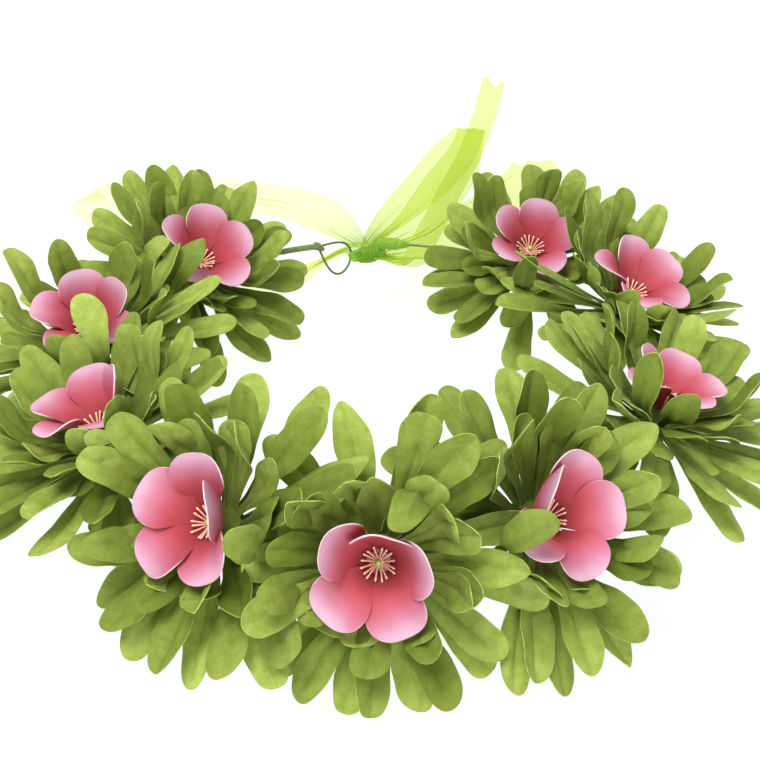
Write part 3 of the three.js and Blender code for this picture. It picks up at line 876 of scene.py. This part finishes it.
def petal_phase(head):
    """The direction of the first CAD petal round the flower's axis, from all five petal tips."""
    corners = node_corners(f"petals_{head.number}")
    offset = corners - head.pivot
    first = spoke(head.flower_axis, head.outward, 0.0)
    second = np.cross(head.flower_axis, first)
    level = np.hypot(offset @ first, offset @ second)
    tips = level > 0.93 * level.max()
    turns = np.exp(5j * np.arctan2(offset[tips] @ second, offset[tips] @ first))
    return np.angle(turns.mean()) % (2 * np.pi) / 5


# The size of each flower's petals, as a share of the front flower's.
PETAL_SIZE = {1: 0.93, 2: 0.92, 3: 0.93, 4: 1.0, 5: 1.0, 6: 0.98, 7: 0.84, 8: 0.9, 9: 0.84}


def petal_rows():
    """Shares of a petal's length, from its root to its round tip, and its half width at each."""
    blade = np.linspace(0, PETAL_WIDEST, 13)[:-1]
    blade_width = 0.3 + 0.7 * np.sin(np.pi / 2 * blade / PETAL_WIDEST) ** 1.6
    cap = np.linspace(0, np.pi / 2, 11)
    cap_place = PETAL_WIDEST + (1 - PETAL_WIDEST) * np.sin(cap)
    cap_width = np.maximum(np.cos(cap), 0.04) ** 0.78
    return np.append(blade, cap_place), np.append(blade_width, cap_width) * PETAL_HALF_WIDTH


def petal_grid(head, angle, end_slope, random):
    """The middle surface of one petal: a fifth of a round cup that opens into a broad spoon."""
    size = PETAL_SIZE[head.number]
    share, width = petal_rows()
    width = width * size
    fine = np.linspace(0, 1, 120)
    bend = smooth((fine - 0.2) / 0.6)
    slope = np.radians(CUP_SLOPE + (end_slope - CUP_SLOPE) * bend)
    step = PETAL_LENGTH * size / len(fine)
    radius = PETAL_ROOT + np.append(0, np.cumsum(np.cos(slope[:-1]))) * step
    height = np.append(0, np.cumsum(np.sin(slope[:-1]))) * step
    outward = spoke(head.flower_axis, head.outward, angle)
    sideways = np.cross(head.flower_axis, outward)
    r = np.interp(share, fine, radius)[:, None]
    h = np.interp(share, fine, height)[:, None]
    spine = head.pivot + outward * r + head.flower_axis * h
    direction = unit(np.gradient(spine, axis=0))
    twist = np.full(len(share), math.radians(5 + random.uniform(-2, 2)))
    across = turned(np.broadcast_to(sideways, direction.shape), direction, twist)
    normal = np.cross(direction, across)
    columns = np.linspace(-1, 1, 21)
    v = columns[None, :]
    reach = width[:, None] * v
    beside = reach / PETAL_HALF_WIDTH
    bowl = reach**2 / (2 * SPOON_RADIUS)
    lip = -0.6 * smooth((share[:, None] ** 2 + beside**2 - 0.75) / 0.9) * smooth(share)[:, None]
    wave = 0.35 * np.sin(4 * beside + random.uniform(0, 6.3)) * smooth(share)[:, None] ** 2
    rise = bowl + lip + wave
    spoon = spine[:, None] + across[:, None] * reach[..., None] + normal[:, None] * rise[..., None]
    swing = v * np.radians(36 - 5 * smooth((share[:, None] - 0.26) / 0.18))
    wall = r + PETAL_CLOTH * 0.7 * v
    level = outward * (wall * np.cos(swing))[..., None] + sideways * (wall * np.sin(swing))[..., None]
    cup = head.pivot + level + head.flower_axis * h[..., None]
    opened = smooth((share - 0.22) / 0.36)[:, None, None]
    return cup + (spoon - cup) * opened, share, columns


def build_petals(head):
    builder = Builder(f"petals_cloth_{head.number}")
    random = np.random.default_rng(700 + head.number)
    phase = petal_phase(head)
    for i, end_slope in enumerate(PETAL_END_SLOPE[head.number]):
        angle = phase + 2 * np.pi * i / 5 + random.uniform(-0.03, 0.03)
        grid, share, columns = petal_grid(head, angle, end_slope, random)
        builder.sheet(grid, PETAL_CLOTH, share, columns, random.uniform(0, 1))
    place = place_at(head.pivot, head.flower_axis, head.outward)
    dish = [(1.6, -0.5), (3.4, -0.5), (4.1, 0.3), (3.7, 0.6), (3.2, 0.1), (1.6, 0.1)]
    builder.turned_profile(dish, place, tone=0.1)
    made = builder.finish(PETAL, PETAL_EDGE)
    deliver(made, f"petals_{head.number}", f"flower_{head.number}")


def build_stamens(head):
    builder = Builder(f"stamen_spray_{head.number}")
    random = np.random.default_rng(900 + head.number)
    place = place_at(head.pivot + head.flower_axis * 1.2, head.flower_axis, head.outward)
    disc = [(0.3, -0.6), (1.6, -0.6), (2.1, 0.0), (1.7, 0.6), (1.0, 0.95), (0.3, 1.0)]
    builder.turned_profile(disc, place, tone=0.2, slot=0)
    s = np.linspace(0, 1, 12)
    for i in range(STAMENS):
        angle = 2 * math.pi * (i + random.uniform(-0.2, 0.2)) / STAMENS
        out = place[:3, 0] * math.cos(angle) + place[:3, 1] * math.sin(angle)
        reach = 1.0 + (4.2 + random.uniform(-0.5, 0.3)) * s
        lift = 0.5 + (2.9 + random.uniform(-0.5, 0.5)) * s**1.15
        path = place[:3, 3] + out * reach[:, None] + place[:3, 2] * lift[:, None]
        sway = random.uniform(-0.35, 0.35)
        path = path + np.cross(place[:3, 2], out) * (sway * s**2)[:, None]
        swell = 0.24 + 0.14 * np.exp(-(((s - 0.93) / 0.09) ** 2))
        swell[-1] *= 0.55
        builder.tube(path, swell, sides=8, tone=random.uniform(0, 1))
    bead_height = np.linspace(0, np.pi, 10)[1:-1]
    bead = [(1.05 * math.sin(t), 1.6 - 1.05 * math.cos(t)) for t in bead_height]
    builder.turned_profile(bead, place, tone=0.5, slot=1, relief=lambda s, a: 1 + 0.04 * np.cos(3 * a) * s)
    made = builder.finish(FILAMENT, BEAD, sharp=60)
    deliver(made, f"stamens_{head.number}", f"head_{head.number}")


# ---------------------------------------- band


def tape_relief(turns):
    """The overlapping turns of florist's tape on a wire, as a swelling of its radius."""

    def swell(s, angle):
        phase = (turns * s + angle / (2 * np.pi)) % 1.0
        return 1 + 0.1 * (phase - 0.5)

    return swell


def arc(start, end, step=0.6):
    count = max(6, int(abs(end - start) * RING_RADIUS / step))
    return np.array([ring_point(a) for a in np.linspace(start, end, count)])


def band_reach(number):
    """The angles at which a head's stretch of band starts and stops."""
    corners = node_corners(f"band_wire_{number}")
    offset = corners - RING_CENTRE
    on_ring = np.hypot(np.hypot(offset[:, 0], offset[:, 1]) - RING_RADIUS, offset[:, 2]) < TAPE_RADIUS * 1.1
    middle = ring_angle(heads[number].foot)
    angles = np.array([ring_angle(c) for c in corners[on_ring]])
    swing = (angles - middle + np.pi) % (2 * np.pi) - np.pi
    return middle + swing.min(), middle + swing.max()


def build_band(head):
    builder = Builder(f"taped_wire_{head.number}")
    start, end = band_reach(head.number)
    path = arc(start, end)
    turns = (end - start) * RING_RADIUS / TAPE_PITCH
    radii = np.full(len(path), TAPE_RADIUS * 0.98)
    if head.number == 9:
        from_end = np.linspace(1, 0, len(path)) * (end - start) * RING_RADIUS
        radii = np.interp(from_end, [0, BARE_END, BARE_END + 5], [BARE_WIRE, BARE_WIRE, TAPE_RADIUS])
    builder.tube(path, radii, sides=14, relief=tape_relief(turns))
    stem_top = head.pivot - head.flower_axis * 2
    run = np.linspace(0, 1, 20)[:, None]
    rise = head.foot + (stem_top - head.foot) * run
    stem = np.concatenate([rise, stem_top + head.flower_axis * 2.6 * run[1:]])
    builder.tube(stem, STEM_RADIUS, sides=12, relief=tape_relief(4))
    place = place_at(head.foot + head.axis * 3.6, head.axis, head.outward)
    collar = [(1.0, -0.8), (1.9, -0.6), (3.2, -0.3), (4.0, 0.1), (3.9, 0.45), (1.0, 0.4)]
    builder.turned_profile(collar, place, sides=20)
    if head.number == 1:
        add_end_loop(builder, start)
    made = builder.finish(TAPE, WIRE, sharp=60)
    deliver(made, f"band_wire_{head.number}", f"head_{head.number}")


def add_end_loop(builder, start):
    """The teardrop of bare wire at the band's left end, and the tape that binds its two strands."""
    corners = node_corners("band_wire_1")
    lead = ring_point(start)
    loop = corners[[ring_angle(c) < start - 0.01 for c in corners]]
    centre = (loop.min(0) + loop.max(0)) / 2
    long_way = unit(loop.mean(0) - lead)
    offset = loop - lead
    long_size = (offset @ long_way).max()
    spread = offset - np.outer(offset @ long_way, long_way)
    wide_way = np.linalg.svd(spread - spread.mean(0))[2][0]
    wide_half = np.abs((loop - centre) @ wide_way).max()
    t = np.linspace(0, 2 * np.pi, 90)
    x = (1 - np.cos(t)) / 2 * long_size
    y = np.sin(t) * np.sin(t / 2) ** 1.4 * wide_half * 1.25
    path = lead + np.outer(x, long_way) + np.outer(y, wide_way)
    builder.tube(path, BARE_WIRE, sides=12, slot=1)
    s = np.linspace(0, 1, 24)
    binding = ring_point(start) + np.outer(s * 4.5 - 1.5, long_way)
    builder.tube(binding, np.interp(s, [0, 0.3, 1], [1.3, 1.7, 0.8]), sides=16, relief=tape_relief(3))


def build_bend_cover(joint_name):
    """The tape that runs on over the free wire where two stretches of band meet."""
    joint = JOINTS[joint_name]
    middle = ring_angle(np.array(joint["pos_m"]) / MM)
    reach = 2.2 / RING_RADIUS
    builder = Builder(f"tape_over_{joint_name}")
    path = arc(middle - reach, middle + reach, 0.3)
    builder.tube(path, TAPE_RADIUS * 1.06, sides=14, relief=tape_relief(1.4))
    made = builder.finish(TAPE, sharp=60)
    half = 0.8 / RING_RADIUS
    foot = heads[int(joint["parent"].removeprefix("head_"))].foot
    ends = [ring_point(middle - half), ring_point(middle + half)]
    ends.sort(key=lambda end: np.linalg.norm(end - foot))
    start, end = (tuple(end * MM) for end in ends)
    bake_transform(made, joint["parent"], joint["child"], start=start, end=end)


# ---------------------------------------- ribbon

knot_low, knot_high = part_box("ribbon_knot")
KNOT = np.array((knot_low + knot_high) / 2) / MM
DROP = -34 - KNOT[2]  # from the knot down to where the ribbon rests


def ribbon_strip(body, points, half_width, both_ends, pleats, seed):
    """One length of ribbon from the knot. It is pleated where it is gathered and undulates beyond."""
    random = np.random.default_rng(seed)
    rows, columns = 170, 49
    path = KNOT + spline([[0, 0.5, 0]] + points + ([[0, 0.5, 0.5]] if both_ends else []), rows)
    s = np.linspace(0, 1, rows)
    run = np.append(0, np.cumsum(np.linalg.norm(np.diff(path, axis=0), axis=1)))
    from_knot = np.minimum(run, run[-1] - run) if both_ends else run
    opened = 1 - np.exp(-((from_knot / RIBBON_OPENING) ** 1.3))
    far_turn = np.exp(-(((s - 0.5) / 0.1) ** 2)) if both_ends else np.zeros(rows)
    width = (RIBBON_GATHERED + (half_width - RIBBON_GATHERED) * opened) * (1 - 0.42 * far_turn)
    tangent = unit(np.gradient(path, axis=0))
    overall = path[int(rows * 0.4)] - path[0]
    level = tangent * [1.0, 1.0, 0.0]
    heading = level * np.sign(level @ overall)[:, None] + 0.35 * unit(overall * [1.0, 1.0, 0.0])
    weights = np.hanning(31) / np.hanning(31).sum()
    padded = np.pad(heading, ((15, 15), (0, 0)), mode="edge")
    eased = sum(weight * padded[k : k + rows] for k, weight in enumerate(weights))
    across = unit(np.cross([0.0, 0.0, 1.0], eased))
    normal = unit(np.cross(tangent, across))
    v = np.linspace(-1, 1, columns)
    gather = np.exp(-from_knot / 22.0)
    phase = random.uniform(0, 6.3, 5)
    pinch = smooth(from_knot / 9.0)[:, None]
    pleat = np.sin(np.pi * pleats * v[None] + phase[0]) * (0.25 + 0.7 * np.exp(-from_knot / 25.0))[:, None]
    second = np.sin(np.pi * (pleats * 0.6) * v[None] + phase[1] + 1.5 * s[:, None]) * 1.0
    fold = np.sin(np.pi * 0.9 * v[None] + phase[2] + 3.0 * s[:, None]) * 2.4 * opened[:, None] ** 2
    sway = np.sin(2 * np.pi * 1.5 * s + phase[3])[:, None] * 1.2 * opened[:, None]
    rise = ((pleat + second * opened[:, None]) * pinch + fold + sway) * (1 - 0.85 * far_turn[:, None])
    drift = 1.6 * np.sin(2 * np.pi * 1.3 * s + phase[4])[:, None] * opened[:, None]
    reach = width[:, None] * v[None] + drift
    grid = path[:, None] + across[:, None] * reach[..., None] + normal[:, None] * rise[..., None]
    grid[..., 2] = np.maximum(grid[..., 2], KNOT[2] + DROP - 1)
    builder = Builder(body.replace("ribbon", "organza"))
    builder.sheet(grid, RIBBON_CLOTH, s, v, gather)
    cloth = ORGANZA_LIT if body == "ribbon_bow_left" else ORGANZA
    deliver(builder.finish(cloth, cloth), body, body)


# Each length of ribbon: points [right, back, up] from the knot, half width, whether it comes back to
# the knot as a bow, and how many pleats it starts with.
LEFT_BOW = [
    *([-4.5, 5, -1], [-10, 17, DROP + 22], [-34, 22, DROP + 7], [-66, 38, DROP + 2], [-110, 79, DROP + 3]),
    *([-127, 94, DROP + 9], [-104, 87, DROP + 16], [-62, 60, DROP + 24], [-26, 40, DROP + 29], [-4, 6, 3]),
]
RIGHT_BOW = [
    *([3, 5.5, 0], [24, 56, DROP + 15], [46, 118, DROP + 9], [55, 150, DROP + 15]),
    *([47, 124, DROP + 22], [25, 60, DROP + 28], [2, 6, 3.5]),
]
LONG_TAIL = [
    *([4, 5.5, -3.5], [22, 50, DROP + 1], [46, 124, DROP + 1]),
    *([60, 178, DROP + 7], [70, 214, DROP + 15]),
]
SHORT_TAIL = [[6.5, 2.5, -2], [36, 42, DROP + 13], [60, 84, DROP + 9], [84, 132, DROP + 7]]
RIBBON_LENGTHS = {
    "ribbon_bow_left": (LEFT_BOW, 17, True, 5),
    "ribbon_bow_right": (RIGHT_BOW, 12, True, 6),
    "ribbon_tail_long": (LONG_TAIL, 6, False, 3),
    "ribbon_tail_short": (SHORT_TAIL, 13, False, 4),
}


def lump_profile(length, stops, count=60):
    """A closed lump along its axis, from (place, radius) stops that a smooth curve passes near."""
    t = np.linspace(0, 1, count)
    radius = np.interp(t, *zip(*stops))
    eased = np.convolve(np.pad(radius, 4, mode="edge"), np.ones(9) / 9, mode="valid")
    return np.stack([eased, (t - 0.5) * length], 1)


def build_knot():
    """The ribbon's knot: one turn drawn tight round the gathered lengths, which splay out of it."""
    builder = Builder("organza_knot")
    place = place_at(KNOT, unit(np.array([1.0, 0.25, -0.05])), np.array([0.0, 0.0, 1.0]))

    def folds(s, angle):
        fine = 0.05 * np.sin(9 * angle + 14 * s) + 0.04 * np.sin(17 * angle - 9 * s)
        return 1 + 0.16 * np.sin(3 * angle + 4 * s) + fine

    stops = [(0, 1.3), (0.15, 2.3), (0.35, 1.9), (0.65, 1.9), (0.85, 2.4), (1, 1.3)]
    builder.turned_profile(lump_profile(KNOT_LENGTH, stops), place, sides=72, relief=folds, tone=0.6)
    along_and_sides = np.stack([place[:3, 2], place[:3, 0], place[:3, 1]])
    s = np.linspace(0, 2 * np.pi, 73)[:-1]
    radial = np.stack([np.zeros_like(s), np.cos(s), np.sin(s)], 1)
    lean = 0.9 * np.sin(s + 0.6)
    rows = []
    for k in np.linspace(-1, 1, 15):
        swell = 2.45 + 0.5 * (1 - k**2) + 0.2 * np.sin(2 * np.pi * 2.2 * k + 2 * s) + 0.14 * np.sin(3 * s)
        ring = radial * swell[:, None] + np.stack([lean + 3.4 * k, 0 * s, 0 * s], 1)
        rows.append(KNOT + ring @ along_and_sides)
    add_band(builder, np.array(rows), 0.5, tone=0.45)
    deliver(builder.finish(ORGANZA_FOLD, ORGANZA_FOLD), "ribbon_knot", "head_1")


def add_band(builder, rings, thickness, tone):
    """A band that closes on itself, from loops of points that lie side by side."""
    wrapped = np.concatenate([rings[:, -1:], rings, rings[:, :1]], axis=1)
    normal = grid_normals(wrapped)[:, 1:-1] * thickness / 2
    section = np.concatenate([rings + normal, (rings - normal)[::-1]])
    count, sides = section.shape[:2]
    index = np.arange(count * sides).reshape(count, sides)
    below = np.roll(index, -1, axis=0)
    corners = [index, below, np.roll(below, -1, axis=1), np.roll(index, -1, axis=1)]
    faces = np.stack(corners, -1).reshape(-1, 4)
    along = np.tile(np.linspace(0, 1, sides), count)
    across = np.repeat(np.linspace(-1, 1, count), sides)
    builder.add(section.reshape(-1, 3), faces.tolist(), 0, along=along, across=across, tone=tone)


def build_wrap():
    """The end of the ribbon wound round the wire's right end."""
    low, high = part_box("ribbon_wrap")
    centre = np.array((low + high) / 2) / MM
    angle = ring_angle(centre)
    along = np.array([-math.sin(angle), math.cos(angle), 0.0])
    builder = Builder("organza_wrap")
    place = place_at(centre, along, np.array([0.0, 0.0, 1.0]))
    stops = [(0, 0.8), (0.12, 1.4), (0.3, 2.0), (0.6, 2.3), (0.85, 1.9), (1, 1.4)]
    profile = lump_profile(WRAP_LENGTH, stops)

    def turns(s, a):
        ridge = np.abs(np.sin(a / 2 + 8 * s + 0.9 * np.sin(a + 5 * s)))
        return 0.9 + 0.2 * ridge**0.6 + 0.04 * np.sin(5 * a - 9 * s)

    builder.turned_profile(profile, place, sides=64, relief=turns, tone=0.9)
    deliver(builder.finish(ORGANZA_WOUND, ORGANZA_WOUND), "ribbon_wrap", "head_9")


# ---------------------------------------- everything

for head in heads.values():
    for whorl, half_width in WHORLS.items():
        build_whorl(head, whorl, half_width)
    build_petals(head)
    build_stamens(head)
    build_band(head)
for joint_name in JOINTS:
    if joint_name.startswith("bend_"):
        build_bend_cover(joint_name)
for seed, (body, length) in enumerate(RIBBON_LENGTHS.items()):
    ribbon_strip(body, *length, seed=30 + seed)
build_knot()
build_wrap()


# ---------------------------------------- floor, light and camera


def build_floor():
    lowest = min(corner[2] for corner in (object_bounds()[0], cad_box[0]))
    half = 4.0
    gap = 0.002
    mesh = bpy.data.meshes.new("floor")
    corners = [(x * half, y * half, lowest - gap) for x, y in ((-1, -1), (1, -1), (1, 1), (-1, 1))]
    mesh.from_pydata(corners, [], [(0, 1, 2, 3)])
    shader = Shader("pale_floor")
    cloud = shader.noise(3.0)
    colour = shader.ramp(cloud, (0.0, "f8f8f8"), (1.0, "fefefe"))
    body = shader.put("BsdfDiffuse", Color=shader.stain(colour, "6e6e6e"))
    glow = shader.put("Emission", Color=colour, Strength=0.94)
    both = shader.put("AddShader", i0=body.outputs[0], i1=glow.outputs[0])
    mesh.materials.append(shader.done(both.outputs[0]))
    add_object("floor", mesh)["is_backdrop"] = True


def point_at_ring(made, back, distance=1):
    """Sets a light or camera back from the ring's centre, in metres, and turns it to face that."""
    made.location = Vector(RING_CENTRE * MM) + back * distance
    made.rotation_mode = "QUATERNION"
    made.rotation_quaternion = (-back).to_track_quat("-Z", "Y")


def build_light():
    world = bpy.data.worlds.new("studio")
    world.use_nodes = True
    background = world.node_tree.nodes["Background"]
    background.inputs["Color"].default_value = (1, 1, 1, 1)
    background.inputs["Strength"].default_value = 0.5
    bpy.context.scene.world = world
    for name, place, size, power in (
        ("key", (-0.35, -0.45, 1.4), 0.8, 26.0),
        ("back", (0.4, 1.0, 0.8), 1.2, 11.0),
        ("front", (0.25, -1.3, 0.25), 0.7, 9.0),
    ):
        light = bpy.data.lights.new(name, "AREA")
        light.size = size
        light.energy = power
        point_at_ring(add_object(name, light), Vector(place))


def build_camera():
    """A close camera, raised a third of the way to straight above and aimed at the ring's middle."""
    elevation = math.radians(33.3)
    swing = math.radians(-1.2)
    distance = 0.5177
    camera = bpy.data.cameras.new("camera")
    camera.sensor_width = 36
    camera.lens = 71.16
    camera.shift_x = 0.0101
    camera.shift_y = -0.0070
    camera.clip_start = 0.01
    camera.clip_end = 20
    back = Matrix.Rotation(swing, 3, "Z") @ Vector((0, -math.cos(elevation), math.sin(elevation)))
    made = add_object("camera", camera)
    point_at_ring(made, back, distance)
    bpy.context.scene.camera = made


build_floor()
build_light()
build_camera()
bpy.context.scene.view_settings.view_transform = "Standard"
